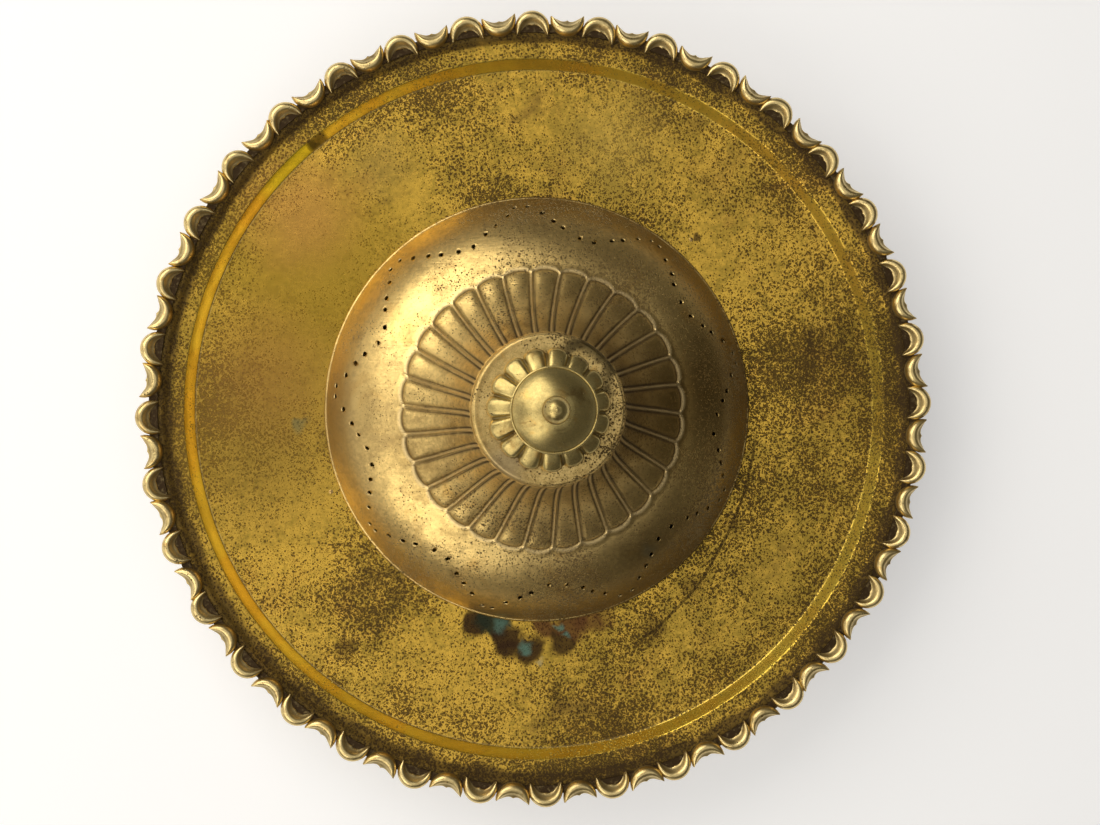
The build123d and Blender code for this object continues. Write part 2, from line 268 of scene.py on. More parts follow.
# pits crowd along the foot of the step, on the right and at the lower left, and cover the flange
def trayPits(tree, axis):
    flat = tree.nodes.new("ShaderNodeCombineXYZ")
    tree.links.new(axis[0], flat.inputs[0])
    tree.links.new(axis[1], flat.inputs[1])
    radius = distanceTo(tree, flat.outputs[0], (0, 0, 0))
    ring = remap(tree, radius, 0.225, 0.257, 0.0, 0.17)
    flange = remap(tree, radius, 0.262, 0.267, 0.0, 0.10)
    clean = remap(tree, distanceTo(tree, flat.outputs[0], (-0.15, 0.10, 0)), 0.04, 0.14, -0.13, 0.0)
    lower = remap(tree, distanceTo(tree, flat.outputs[0], (-0.12, -0.19, 0)), 0.02, 0.12, 0.10, 0.0)
    right = remap(tree, distanceTo(tree, flat.outputs[0], (0.20, 0.01, 0)), 0.03, 0.14, 0.12, 0.0)
    total = calc(tree, "ADD", calc(tree, "ADD", ring, flange), calc(tree, "ADD", clean, lower))
    return calc(tree, "ADD", total, right)


verdigris, tealSalt, darkBrown = (0.028, 0.034, 0.020), (0.12, 0.22, 0.16), (0.05, 0.026, 0.012)
redBrown, pitBrown, paleSpot = (0.13, 0.055, 0.02), (0.10, 0.05, 0.02), (0.45, 0.36, 0.16)
# corrosion beside the lid from left to right, then broad tones, then single spots
trayMarks = [
    ((-0.047, -0.163, 0.07), 0.009, 0.003, darkBrown, 0.95), ((-0.034, -0.164, 0.07), 0.011, 0.003, verdigris, 0.97),
    ((-0.024, -0.174, 0.07), 0.011, 0.003, darkBrown, 0.95), ((-0.024, -0.183, 0.07), 0.008, 0.003, darkBrown, 0.95),
    ((-0.008, -0.184, 0.07), 0.0105, 0.003, darkBrown, 0.95), ((0.006, -0.167, 0.07), 0.010, 0.004, redBrown, 0.92),
    ((0.018, -0.178, 0.07), 0.010, 0.003, darkBrown, 0.9), ((0.026, -0.165, 0.07), 0.012, 0.004, redBrown, 0.9),
    ((0.040, -0.161, 0.07), 0.011, 0.004, redBrown, 0.75), ((0.052, -0.158, 0.07), 0.008, 0.004, redBrown, 0.5),
    ((-0.0105, -0.182, 0.07), 0.0050, 0.003, tealSalt, 0.8), ((0.0175, -0.165, 0.07), 0.0030, 0.002, tealSalt, 0.8),
    ((0.0215, -0.173, 0.07), 0.0030, 0.002, tealSalt, 0.8), ((-0.030, -0.164, 0.07), 0.0045, 0.0035, tealSalt, 0.6),
    ((0.004, -0.192, 0.07), 0.003, 0.0015, paleSpot, 0.8), ((-0.146, -0.181, 0.07), 0.008, 0.003, darkBrown, 0.55),
    ((-0.165, 0.095, 0.07), 0.075, 0.060, (0.33, 0.205, 0.020), 0.72),
    ((-0.215, -0.02, 0.07), 0.06, 0.05, (0.27, 0.165, 0.03), 0.7),
    ((-0.180, 0.150, 0.07), 0.035, 0.030, (0.55, 0.24, 0.08), 0.40),
    ((-0.205, 0.030, 0.07), 0.040, 0.035, (0.40, 0.18, 0.05), 0.35),
    ((-0.120, 0.185, 0.07), 0.020, 0.018, (0.30, 0.20, 0.06), 0.40),
    ((0.060, 0.205, 0.07), 0.030, 0.028, (0.62, 0.42, 0.09), 0.40),
    ((0.148, -0.088, 0.07), 0.008, 0.006, darkBrown, 0.4), ((0.118, -0.135, 0.07), 0.009, 0.006, darkBrown, 0.5),
    ((0.088, -0.168, 0.07), 0.009, 0.005, darkBrown, 0.5), ((-0.172, 0.200, 0.073), 0.005, 0.002, pitBrown, 0.9),
    ((0.122, 0.131, 0.07), 0.004, 0.001, darkBrown, 0.8),
    ((-0.181, -0.012, 0.07), 0.005, 0.003, (0.14, 0.17, 0.09), 0.5)]
brassLook = {"clean": (0.78, 0.48, 0.07), "bloom": (0.42, 0.275, 0.042), "stain": (0.20, 0.115, 0.03),
             "blush": (0.60, 0.32, 0.06), "stainAmount": 0.7, "polishAndReflection": (1.0, 0.80, 0.12),
             "amber": (1.0, 0.68, 0.09), "paintedGlint": (1.0, 1.0, 0.08), "patch": 7.0, "pits": 0.10, "pitLean": 0.28,
             "pitScale": 430.0, "pitAndShadeColour": (0.045, 0.026, 0.010), "wornAndHighlight": (0.80, 0.62, 0.32),
             "rough": (0.21, 0.33), "grain": 40.0, "grainTurn": 0.5, "grainDepth": 0.0001,
             "pitDepth": 0.00025, "dents": 0.0005}
seam = ((-0.053, 0.006, 0.07), 0.2243, 0.07, -0.012)       # middle and radius of its arc, its start and its end
trayBrass = agedBrass("trayBrass", {**brassLook, "seam": seam}, trayMarks, trayPits)
# the three broad dark brown patches over the right-hand side of the lid are painted shade
domeMarksAndShade = [
    ((0.085, 0.0, 0.14), 0.055, 0.045, (0.17, 0.10, 0.020), 0.85),
    ((0.045, 0.07, 0.14), 0.05, 0.04, (0.24, 0.155, 0.05), 0.5),
    ((0.03, -0.085, 0.13), 0.05, 0.04, (0.30, 0.20, 0.08), 0.3),
    ((-0.158, 0.0, 0.10), 0.05, 0.045, (0.36, 0.25, 0.10), 0.6),
    ((0.076, -0.104, 0.103), 0.008, 0.004, (0.30, 0.36, 0.26), 0.6),
    ((0.132, 0.02, 0.10), 0.05, 0.04, (0.15, 0.09, 0.025), 0.75),
    ((0.100, -0.110, 0.09), 0.05, 0.04, (0.14, 0.085, 0.025), 0.7),
    ((-0.02, 0.146, 0.09), 0.03, 0.03, (0.20, 0.14, 0.06), 0.4)]
domeLook = {**brassLook, "clean": (0.86, 0.62, 0.23), "bloom": (0.52, 0.37, 0.14), "patch": 9.0, "stainAmount": 0.55,
            "pits": -0.06, "pitLean": 1.8, "rough": (0.30, 0.42), "dents": 0.0004, "grainDepth": 0.0002}
domeBrass = agedBrass("domeBrass", domeLook, domeMarksAndShade)
crownMarks = [((0.022 + 0.018 * cos(radians(angle)), 0.016 + 0.03 * sin(radians(angle)), 0.192),
               0.006, 0.004, (0.07, 0.05, 0.02), 0.85) for angle in range(-100, 120, 24)]
crownMarks.append(((-0.030, -0.038, 0.192), 0.016, 0.010, (0.26, 0.20, 0.12), 0.6))
crownLook = {**brassLook, "clean": (0.74, 0.53, 0.20), "bloom": (0.46, 0.32, 0.11), "patch": 30.0, "pits": -0.05,
             "pitLean": 5.0, "rough": (0.3, 0.45), "dents": 0.0003}
crownBrass = agedBrass("crownBrass", crownLook, crownMarks)
borderBrass = agedBrass("borderBrass", {**brassLook, "clean": (0.82, 0.64, 0.29), "bloom": (0.60, 0.46, 0.20),
                                        "pits": -0.4, "pitLean": 0.0, "patch": 40.0, "rough": (0.24, 0.38),
                                        "dents": 0.0002})
finialBrass = agedBrass("finialBrass", {**brassLook, "clean": (0.58, 0.45, 0.17), "bloom": (0.40, 0.31, 0.12),
                                        "pits": -0.35, "pitLean": 0.0, "patch": 25.0, "rough": (0.26, 0.38),
                                        "dents": 0.00015})
footBrass = agedBrass("footBrass", {**brassLook, "patch": 25.0, "pits": -0.1, "pitLean": 0.0})
panBrass = agedBrass("panBrass", {**brassLook, "clean": (0.30, 0.21, 0.10), "bloom": (0.13, 0.10, 0.07),
                                  "stain": (0.05, 0.045, 0.04), "stainAmount": 0.9, "rough": (0.45, 0.7)})
rivetBrass = agedBrass("rivetBrass", {**brassLook, "clean": (0.42, 0.27, 0.12), "patch": 60.0, "pits": -0.2})
print("materials made")


# ---- mesh helpers
def arcThrough(a, b, c, count):
    bx, by, cx, cy = b[0] - a[0], b[1] - a[1], c[0] - a[0], c[1] - a[1]
    cross = 2 * (bx * cy - by * cx)
    ox = (cy * (bx * bx + by * by) - by * (cx * cx + cy * cy)) / cross
    oy = (bx * (cx * cx + cy * cy) - cx * (bx * bx + by * by)) / cross
    centre, radius = (a[0] + ox, a[1] + oy), hypot(ox, oy)
    start = atan2(a[1] - centre[1], a[0] - centre[0])
    middle = atan2(b[1] - centre[1], b[0] - centre[0])
    finish = atan2(c[1] - centre[1], c[0] - centre[0])
    sweep = (finish - start) % (2 * pi)
    if (middle - start) % (2 * pi) > sweep:
        sweep -= 2 * pi
    steps = [start + sweep * index / count for index in range(count + 1)]
    return [(centre[0] + radius * cos(angle), centre[1] + radius * sin(angle)) for angle in steps]


def rounded(points, radius, steps=4):
    made = [points[0]]
    for before, corner, after in zip(points, points[1:], points[2:]):
        here = Vector(corner)
        back = (Vector(before) - here)
        ahead = (Vector(after) - here)
        reach = min(radius, back.length * 0.45, ahead.length * 0.45)
        first, last = here + back.normalized() * reach, here + ahead.normalized() * reach
        for index in range(steps + 1):
            way = index / steps
            spot = first.lerp(here, way).lerp(here.lerp(last, way), way)
            made.append((spot.x, spot.y))
    return made + [points[-1]]


def divided(points, longest):
    made = [points[0]]
    for start, end in zip(points, points[1:]):
        parts = max(1, round(hypot(end[0] - start[0], end[1] - start[1]) / longest))
        made += [(start[0] + (end[0] - start[0]) * k / parts, start[1] + (end[1] - start[1]) * k / parts)
                 for k in range(1, parts + 1)]
    return made


def spun(points, steps, closed=False):
    bm = bmesh.new()
    verts = [bm.verts.new((radius, 0, height)) for radius, height in points]
    edges = [bm.edges.new(pair) for pair in zip(verts, verts[1:] + verts[:1] if closed else verts[1:])]
    bmesh.ops.spin(bm, geom=verts + edges, cent=(0, 0, 0), axis=(0, 0, 1), angle=2 * pi, steps=steps, use_merge=True)
    bmesh.ops.remove_doubles(bm, verts=bm.verts, dist=1e-6)
    bmesh.ops.recalc_face_normals(bm, faces=bm.faces)
    return bm


def finishPiece(name, bm, body, material, replaced=(), sharp=40):
    mesh = bpy.data.meshes.new(name)
    bm.to_mesh(mesh)
    bm.free()
    mesh.materials.append(material)
    mesh.shade_smooth()
    mesh.set_sharp_from_angle(angle=radians(sharp))
    piece = bpy.data.objects.new(name, mesh)
    scene.collection.objects.link(piece)
    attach(piece, body)
    if replaced:
        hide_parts(*replaced)
    print(name, len(mesh.polygons), "faces")
    return piece


def azimuth(point):
    return degrees(atan2(point.y, point.x)) % 360


# ---- tray
tray = {"opening": 112 * mm, "stepFoot": 258.0 * mm, "stepTop": 265.4 * mm,
        "stepHeight": 7.5 * mm, "flange": 277.5 * mm, "flangeHeight": 8.3 * mm, "lipInner": 281.5 * mm,
        "lipOuter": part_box("tray")[1].x, "steps": 432, "wave": 0.35 * mm, "scallop": 0.9 * mm, "bend": 1.1 * mm,
        "stainAngle": 129.5, "stainHalf": 1.6, "scallops": 36, "litAngle": 200, "shadeAngle": 220}


def trayFace():
    points = [(tray["opening"], fieldTop), (tray["stepFoot"], fieldTop),
              (tray["stepTop"], fieldTop + tray["stepHeight"]), (tray["flange"], fieldTop + tray["flangeHeight"]),
              (tray["lipInner"], lipTop), (tray["lipOuter"], lipTop)]
    return divided(rounded(points, tray["bend"]), 3 * mm)


def trayPiece():
    top = trayFace()
    bottom = [(radius, height - traySheet) for radius, height in reversed(top)]
    bm = spun(top + bottom, tray["steps"], closed=True)
    grimeAndShade = bm.verts.layers.float.new("grimeAndShade")
    polishAndReflection = bm.verts.layers.float.new("polishAndReflection")
    wearAndHighlight = bm.verts.layers.float.new("wearAndHighlight")
    for vert in bm.verts:
        radius = hypot(vert.co.x, vert.co.y)
        angle = atan2(vert.co.y, vert.co.x)
        wall = min(1, max(0, (radius - tray["stepFoot"] + 0.4 * mm) / mm))
        wall *= min(1, max(0, (tray["stepTop"] + 0.4 * mm - radius) / mm))
        facing = 0.5 + 0.5 * cos(angle - radians(tray["litAngle"]))     # 1 on the side where the step wall shows the lit lid, 0 on the shaded side
        broken = abs(degrees(angle) - tray["stainAngle"]) < tray["stainHalf"]
        # painted reflection of the lit lid on the step wall, strongest on the left and broken where a stain crosses it
        vert[polishAndReflection] = wall * 0.2 if broken else wall * min(1, 0.3 + 1.4 * facing)
        # painted highlight along the foot of the step on the lit side
        vert[wearAndHighlight] = 0.3 * facing * (abs(radius - tray["stepFoot"]) < 0.7 * mm)
        scallopWave = cos(tray["scallops"] * (angle - radians(1)))
        # painted shadow of the border on the flange inside the lip, scalloped and widest at the lower left
        shade = 5.5 * mm + 5.5 * mm * max(0, cos(angle - radians(tray["shadeAngle"])))
        inside = tray["lipInner"] - shade - 1.2 * mm * scallopWave
        borderShade = 0.82 * min(1, max(0, (radius - inside) / (3.0 * mm)))
        # painted shade from that shadow and on the step wall's far side, and a real stain at the break
        vert[grimeAndShade] = max(borderShade, 0.25 * wall * (1 - facing), 0.45 * wall * broken)
        calm = min(1, max(0, (radius - 165 * mm) / (40 * mm)))   # the lid needs a flat seat
        if radius < tray["stepFoot"]:
            calm *= min(1, max(0, (tray["stepFoot"] - radius) / (15 * mm)))
            vert.co.z += tray["wave"] * calm * noise.noise(Vector((vert.co.x * 9, vert.co.y * 9, 2)))
        elif tray["stepTop"] < radius < tray["lipInner"] + 2 * mm:
            vert.co.z += 0.5 * tray["wave"] * noise.noise(Vector((cos(angle) * 6, sin(angle) * 6, 5)))
            if radius > tray["flange"] - 6 * mm:
                wave = 0.5 - 0.5 * scallopWave
                shift = tray["scallop"] * wave * (radius - tray["flange"] + 6 * mm) / (8 * mm)
                vert.co.xy -= vert.co.xy.normalized() * min(shift, tray["scallop"])
    return finishPiece("trayBody", bm, "tray_body", trayBrass, ["tray"])


trayPiece()


# ---- border: every crescent is the same curled half ring, its horns inwards for an arch and outwards for a cup
border = {"outer": 300.0 * mm, "inner": 281.5 * mm, "radius": 12.95 * mm, "height": borderTop - lipTop + 0.6 * mm,
          "steps": 24, "bandInner": 284 * mm, "bandOuter": 290.4 * mm, "bandHeight": 1.6 * mm,
          "firstArch": 321.0, "stepAngle": 5.0, "pairs": 5, "segments": 7}
archShape = {"turn": 114, "width": 11.4 * mm, "tip": 0.12, "droop": 0.55, "fullness": 0.55}
cupShape = {"turn": 98, "width": 11.8 * mm, "tip": 0.14, "droop": 0.25, "fullness": 0.55}
# across from the convex edge, height, and painted shade: the roll, its ridge, the shaded hollow, the bright lower lip
crescentSection = (
    (0.0, 0.0, 0.9), (-0.01, 0.22, 0.5), (0.01, 0.44, 0.15), (0.06, 0.65, 0.0), (0.14, 0.82, 0.0), (0.24, 0.94, 0.0),
    (0.36, 1.0, 0.0), (0.48, 0.97, 0.0), (0.59, 0.86, 0.05), (0.69, 0.68, 0.35), (0.78, 0.50, 0.6),
    (0.86, 0.41, 0.35), (0.93, 0.38, 0.0), (0.98, 0.32, 0.0), (1.0, 0.16, 0.6), (1.0, 0.0, 1.0))


# one horned ring: a section spun through twice its turn, slimmed to the horns and set on its spot
def crescent(bm, angle, shape, inwards):
    grimeAndShade = bm.verts.layers.float["grimeAndShade"]
    radius = border["radius"] * random.uniform(0.98, 1.015)
    width = min(shape["width"] * random.uniform(0.95, 1.05), radius - 0.5 * mm)
    verts = []
    for across, up, shadeAmount in crescentSection:
        vert = bm.verts.new((radius - across * width, 0, up * border["height"]))
        vert[grimeAndShade] = shadeAmount
        verts.append(vert)
    face = bm.faces.new(verts)
    turn = radians(shape["turn"])
    bmesh.ops.rotate(bm, verts=verts, matrix=Matrix.Rotation(-turn, 3, "Z"))
    before = set(bm.verts) - set(verts)
    bmesh.ops.spin(bm, geom=verts + list(face.edges) + [face], cent=(0, 0, 0), axis=(0, 0, 1), angle=2 * turn,
                   steps=border["steps"])
    made = [vert for vert in bm.verts if vert not in before]
    skew = random.uniform(-0.12, 0.12)
    for vert in made:
        around = atan2(vert.co.y, vert.co.x) / turn
        leant = min(1.0, abs(around + skew * (1 - around * around)))
        slim = shape["tip"] + (1 - shape["tip"]) * max(0.0, cos(leant * pi / 2)) ** shape["fullness"]
        far = hypot(vert.co.x, vert.co.y)
        vert.co.xy *= (radius - (radius - far) * slim) / far
        up = vert.co.z / border["height"]
        vert.co.z *= 1 - shape["droop"] * abs(around) ** 2.4
        # the painted shade thins towards the horns, and more painted shade lies at the foot of each horn tip
        vert[grimeAndShade] = max(vert[grimeAndShade] * (0.35 + 0.65 * slim), 0.8 * max(0.0, abs(around) - 0.93) / 0.07 * (1 - up))
    spot = border["inner"] + radius if inwards else border["outer"] - radius
    spot += random.uniform(-0.4, 0.4) * mm
    lean = Matrix.Rotation(radians(random.uniform(-5, 5)) + (pi if inwards else 0), 4, "Z")
    there = Matrix.Translation((spot, 0, lipTop + 0.05 * mm))
    whole = Matrix.Rotation(radians(angle + random.uniform(-0.25, 0.25)), 4, "Z")
    bmesh.ops.transform(bm, matrix=whole @ there @ lean, verts=made)


def borderPiece(name, firstArch, pairs, node):
    bm = bmesh.new()
    grimeAndShade = bm.verts.layers.float.new("grimeAndShade")
    for pair in range(pairs):
        archAngle = firstArch - pair * 2 * border["stepAngle"]
        crescent(bm, archAngle, archShape, False)
        crescent(bm, archAngle - border["stepAngle"], cupShape, True)
    inner, outer, top = border["bandInner"], border["bandOuter"], lipTop + border["bandHeight"]
    verts = [bm.verts.new(spot) for spot in ((inner, 0, lipTop), (outer, 0, lipTop), (outer, 0, top), (inner, 0, top))]
    band = bm.faces.new(verts)
    # the band under the crescents is painted in full shade
    for vert in verts:
        vert[grimeAndShade] = 1.0
    sweep = radians(pairs * 2 * border["stepAngle"] - 0.2)
    start = radians(firstArch + border["stepAngle"] / 2 - 0.1) - sweep
    bmesh.ops.rotate(bm, verts=verts, matrix=Matrix.Rotation(start, 3, "Z"))
    bmesh.ops.spin(bm, geom=verts + list(band.edges) + [band], cent=(0, 0, 0), axis=(0, 0, 1), angle=sweep,
                   steps=8 * pairs)
    bmesh.ops.recalc_face_normals(bm, faces=bm.faces)
    return finishPiece(name, bm, "tray_body", borderBrass, [node], 50)


for segment in range(border["segments"]):
    firstArch = border["firstArch"] - segment * border["pairs"] * 2 * border["stepAngle"]
    borderPiece(f"borderSegment{segment + 1}", firstArch, border["pairs"], f"border_segment_{segment + 1}")
borderPiece("borderFiller", border["firstArch"] + 2 * border["stepAngle"], 1, "border_filler")
print("border made")


# ---- lid: one spun sheet whose rows slide to follow the flutes, with real holes for the vents
dome = {"foot": (160.0, 3.3), "wallMiddle": (141.0, 31.2), "shoulder": (104.0, 48.5), "slopeMiddle": (74.5, 69.0),
        "neck": (54.0, 118.0), "wallRows": 28, "slopeRows": 56, "columns": 480, "sheet": 1.2 * mm, "flutes": 30,
        "fluteAngle": 10.3, "swirl": 5.0, "fluteDepth": 2.3, "bead": 1.0, "beadWidth": 0.75, "endDepth": 3.6,
        "dent": 0.25, "festoons": 9, "festoonAngle": 35.0, "vent": 1.9 * mm, "arcParts": 200, "fluteStart": 0.86}
# angle from the middle of a festoon, and way up the wall
ventSpots = ((2.7, 0.63), (7.9, 0.54), (11.0, 0.46), (14.8, 0.35), (18.3, 0.22))
wallArc = arcThrough(dome["foot"], dome["wallMiddle"], dome["shoulder"], dome["arcParts"])
slopeArc = arcThrough(dome["shoulder"], dome["slopeMiddle"], dome["neck"], dome["arcParts"])
wallLength, slopeLength = 75.5, 90.4          # along the two arcs, in millimetres


# point and normal on the lid's profile: 0 at the rim, 1 at the shoulder, 2 at the neck
def domeSpot(way):
    arc, part = (wallArc, way) if way < 1 else (slopeArc, way - 1)
    index = min(dome["arcParts"] - 1, max(0, int(part * dome["arcParts"])))
    blend = part * dome["arcParts"] - index
    (r0, z0), (r1, z1) = arc[index], arc[index + 1]
    length = hypot(r1 - r0, z1 - z0)
    return (r0 + (r1 - r0) * blend, z0 + (z1 - z0) * blend), ((z1 - z0) / length, (r0 - r1) / length)


def fluteEnd(across):
    return dome["endDepth"] * abs(across) ** 2.6


# a narrow raised line runs round each flute, with a groove inside it and a pillow between
def fluteHeight(across, up, radius):
    half = radius * radians(180 / dome["flutes"])
    side = half * (1 - abs(across))
    end = up - fluteEnd(across)
    line = min(side, abs(end)) if end > 0 else abs(end)
    bead = exp(-(line / dome["beadWidth"]) ** 2)
    groove = exp(-((line - 1.9) / 0.8) ** 2) if end > 0 else 0.35 * exp(-((line - 1.9) / 0.8) ** 2)
    height = dome["bead"] * bead - 0.45 * groove
    if end > 0:
        inside = 1 / (1 / max(side, 0.01) ** 3 + 1 / max(end, 0.01) ** 3) ** (1 / 3)
        height += dome["fluteDepth"] * min(1, half / 9) * (1 - exp(-max(inside - 1.2, 0) / 2.6))
    return height, bead, groove if end > 0 else 0.0


def domePiece():
    ways = [index / dome["wallRows"] for index in range(dome["wallRows"])]
    ways += [1 + index / dome["slopeRows"] for index in range(dome["slopeRows"] + 1)]
    profile = [domeSpot(way)[0] for way in ways]
    bm = spun([(radius * mm, height * mm) for radius, height in profile], dome["columns"])
    rowOf = {round(height, 3): way for (radius, height), way in zip(profile, ways)}
    cell = 360 / dome["flutes"]
    grid = {}
    grimeAndShade = bm.verts.layers.float.new("grimeAndShade")
    wearAndHighlight = bm.verts.layers.float.new("wearAndHighlight")
    for vert in bm.verts:
        way = rowOf[round(vert.co.z / mm, 3)]
        column = round(azimuth(vert.co) / 360 * dome["columns"]) % dome["columns"]
        angle = column * 360 / dome["columns"]
        perCell = dome["columns"] // dome["flutes"]
        across = 2 * (column % perCell) / perCell - 1
        across *= 1 + 0.5 * (1 - abs(across))                     # columns crowd towards the raised lines
        centre = (column // perCell + 0.5) * cell
        fluted = min(1, max(0, (way - dome["fluteStart"]) / 0.12))
        angle = angle * (1 - fluted) + (centre + across * cell / 2) * fluted if fluted else angle
        angle += dome["fluteAngle"] * min(1, way / dome["fluteStart"])
        if way > 1:
            angle += dome["swirl"] * (way - 1)
        slide = fluteEnd(across) * fluted * max(0, 1 - max(0, way - 1) * slopeLength / 14)
        moved = way + slide / slopeLength if way >= 1 else way + slide / wallLength
        if moved > 1 > way:
            moved = 1 + (moved - 1) * wallLength / slopeLength
        (radius, height), (nr, nz) = domeSpot(min(moved, 2))
        up = (moved - 1) * (slopeLength if moved > 1 else wallLength)
        fade = min(1, max(0, (2.0 - moved) / 0.05))
        band = min(1, max(0, (0.55 - way) / 0.3))                 # the lower wall is dull and rubbed
        vert[wearAndHighlight] = 0.4 * band
        vert[grimeAndShade] = 0.15 * band
        rise = 0
        if moved > 0.9:
            rise, bead, groove = fluteHeight(across, up, radius)
            rise *= fade
            # the raised lines are paler, and it is darker in the groove beside each line and further up the slope
            vert[wearAndHighlight] = bead * fade * 0.8
            vert[grimeAndShade] = min(1, 0.8 * groove + 0.38 * max(0, moved - 1)) * fade
        if 0.03 < way < 1.97:
            rise += dome["dent"] * noise.noise(Vector((cos(radians(angle)) * 2.2, sin(radians(angle)) * 2.2, way * 2)))
        radius, height = (radius + nr * rise) * mm, (height + nz * rise) * mm
        turned = radians(angle)
        vert.co = (radius * cos(turned), radius * sin(turned), lidBase + height)
        grid[vert] = (angle % 360, moved)
    drillVents(bm, grid)
    bmesh.ops.recalc_face_normals(bm, faces=bm.faces)
    piece = finishPiece("domeShell", bm, "lid_body", domeBrass, ["dome"], 60)
    thick = piece.modifiers.new("sheet", "SOLIDIFY")
    thick.thickness = dome["sheet"]
    thick.offset = -1


def drillVents(bm, grid):
    wall = [(vert, *spot) for vert, spot in grid.items() if 0.05 < spot[1] < 0.8]
    chosen = {}
    for festoon in range(dome["festoons"]):
        middle = dome["festoonAngle"] + 360 / dome["festoons"] * festoon
        for aside, way in ventSpots:
            for side in (-1, 1):
                angle = (middle + side * aside + random.uniform(-0.5, 0.5)) % 360
                level = way + random.uniform(-0.012, 0.012)
                radius, height = domeSpot(level)[0]
                near = min(wall, key=lambda item: ((((item[1] - angle + 180) % 360 - 180) * 2.5) ** 2
                                                   + ((item[2] - level) * 75) ** 2))[0]
                turned = radians(angle)
                near.co = (radius * mm * cos(turned), radius * mm * sin(turned), lidBase + height * mm)
                chosen[near] = near.co.copy()
    made = bmesh.ops.bevel(bm, geom=list(chosen), affect="VERTICES", offset=dome["vent"], offset_type="OFFSET",
                           segments=1, profile=0.5, material=-1)
    centres = list(chosen.values())
    edges = {edge for face in made["faces"] for edge in face.edges}
    bmesh.ops.subdivide_edges(bm, edges=list(edges), cuts=2)
    holes = [face for face in bm.faces if len(face.verts) == 12]      # a square mouth with each edge cut in three
    for face in holes:
        middle = face.calc_center_median()
        spot = min(centres, key=lambda centre: (centre - middle).length)
        for vert in face.verts:
            vert.co = spot + (vert.co - spot).normalized() * dome["vent"]
    bmesh.ops.delete(bm, geom=holes, context="FACES")
    print("vents", len(holes))


domePiece()


def rimBead():
    bm = bmesh.new()
    ring = bmesh.ops.create_circle(bm, segments=10, radius=1.6 * mm)["verts"]
    bmesh.ops.rotate(bm, verts=ring, matrix=Matrix.Rotation(pi / 2, 3, "X"))
    bmesh.ops.translate(bm, verts=ring, vec=(lidRadius, 0, lidBase + 1.6 * mm))
    bmesh.ops.spin(bm, geom=ring + list(bm.edges), cent=(0, 0, 0), axis=(0, 0, 1), angle=2 * pi, steps=360,
                   use_merge=True)
    for vert in bm.verts:
        angle = atan2(vert.co.y, vert.co.x)
        vert.co.xy *= 1 + 0.0016 * noise.noise(Vector((cos(angle) * 9, sin(angle) * 9, 1)))
    bmesh.ops.recalc_face_normals(bm, faces=bm.faces)
    return finishPiece("lidRim", bm, "lid_body", domeBrass, ["rim_wire"])


rimBead()

# ---- petal collar
collar = {"petals": 15, "angle": 9.0, "steps": 300, "groove": 3.2, "notch": 5.2}


def collarPiece():
    base, top, outer = collarBox[0].z, collarBox[1].z, collarBox[1].x
    profile = [(0.0, top - 0.5 * mm), (12 * mm, top - 0.5 * mm), (20 * mm, top - 1.0 * mm), (28 * mm, top - 2.4 * mm),
               (36 * mm, top - 5.4 * mm), (outer - 1.4 * mm, base + 4.6 * mm), (outer, base + 2.2 * mm),
               (outer - 1.0 * mm, base), (30 * mm, base), (0.0, base)]
    bm = spun(divided(rounded(profile, 3 * mm), 1.6 * mm), collar["steps"])
    grimeAndShade = bm.verts.layers.float.new("grimeAndShade")
    for vert in bm.verts:
        radius = hypot(vert.co.x, vert.co.y)
        if radius < 1e-5:
            continue
        cell = 360 / collar["petals"]
        across = ((azimuth(vert.co) - collar["angle"] + cell / 2) % cell) / cell * 2 - 1
        out = min(1, max(0, (radius - 20 * mm) / (outer - 20 * mm)))
        # darker in the gaps between the petals
        vert[grimeAndShade] = 0.9 * max(0, abs(across) - 0.84) / 0.16 * min(1, out * 2)
        if vert.co.z > base + 0.5 * mm:
            vert.co.z -= collar["groove"] * mm * out ** 0.5 * abs(across) ** 7
            vert.co.z += 1.7 * mm * out ** 0.7 * (1 - across ** 4)
        shrink = collar["notch"] * mm * out ** 4 * (1 - sqrt(max(0, 1 - across * across)))
        vert.co.xy *= (radius - shrink) / radius
    bmesh.ops.recalc_face_normals(bm, faces=bm.faces)
    return finishPiece("petalCollar", bm, "lid_body", finialBrass, ["petal_collar"], 60)


collarPiece()


# ---- turned pieces of the finial, and the crown plate below them
def turnedPiece(name, points, node, material=finialBrass, soft=1.2 * mm, steps=160):
    bm = spun(divided(rounded(points, soft, 5), 1.5 * mm), steps)
    return finishPiece(name, bm, "lid_body", material, [node], 50)


bore = 3.05 * mm
finial = {"knobGrowth": 1.015, "capHeight": 11.0 * mm, "capHalf": 28.0 * mm, "ballGrowth": 1.27, "nipple": 1.7 * mm}
crownLow, crownTop, crownEdge = crownBox[0].z, crownBox[1].z, crownBox[1].x
crownUnder = crownTop - 1.2 * mm
turnedPiece("crownPlate", [(bore, crownUnder), (bore, crownTop), (crownEdge - 6 * mm, crownTop),
                           (crownEdge - 2.6 * mm, crownTop + 0.5 * mm), (crownEdge - 0.8 * mm, crownTop - 1.0 * mm),
                           (crownEdge, crownLow), (crownEdge - 1.2 * mm, crownLow),
                           (crownEdge - 5 * mm, crownUnder), (bore, crownUnder)],
            "crown_plate", crownBrass)
low, high = neckBox[0].z, neckBox[1].z
turnedPiece("finialNeck", [(bore, low), (16 * mm, low), (16 * mm, low + 2 * mm), (10 * mm, low + 7 * mm),
                           (8.6 * mm, low + 11 * mm), (10 * mm, low + 13.5 * mm), (13 * mm, low + 15 * mm),
                           (13 * mm, low + 17.5 * mm), (9.5 * mm, low + 19.5 * mm), (8.6 * mm, low + 26 * mm),
                           (12.6 * mm, high), (bore, high), (bore, low)], "finial_neck")
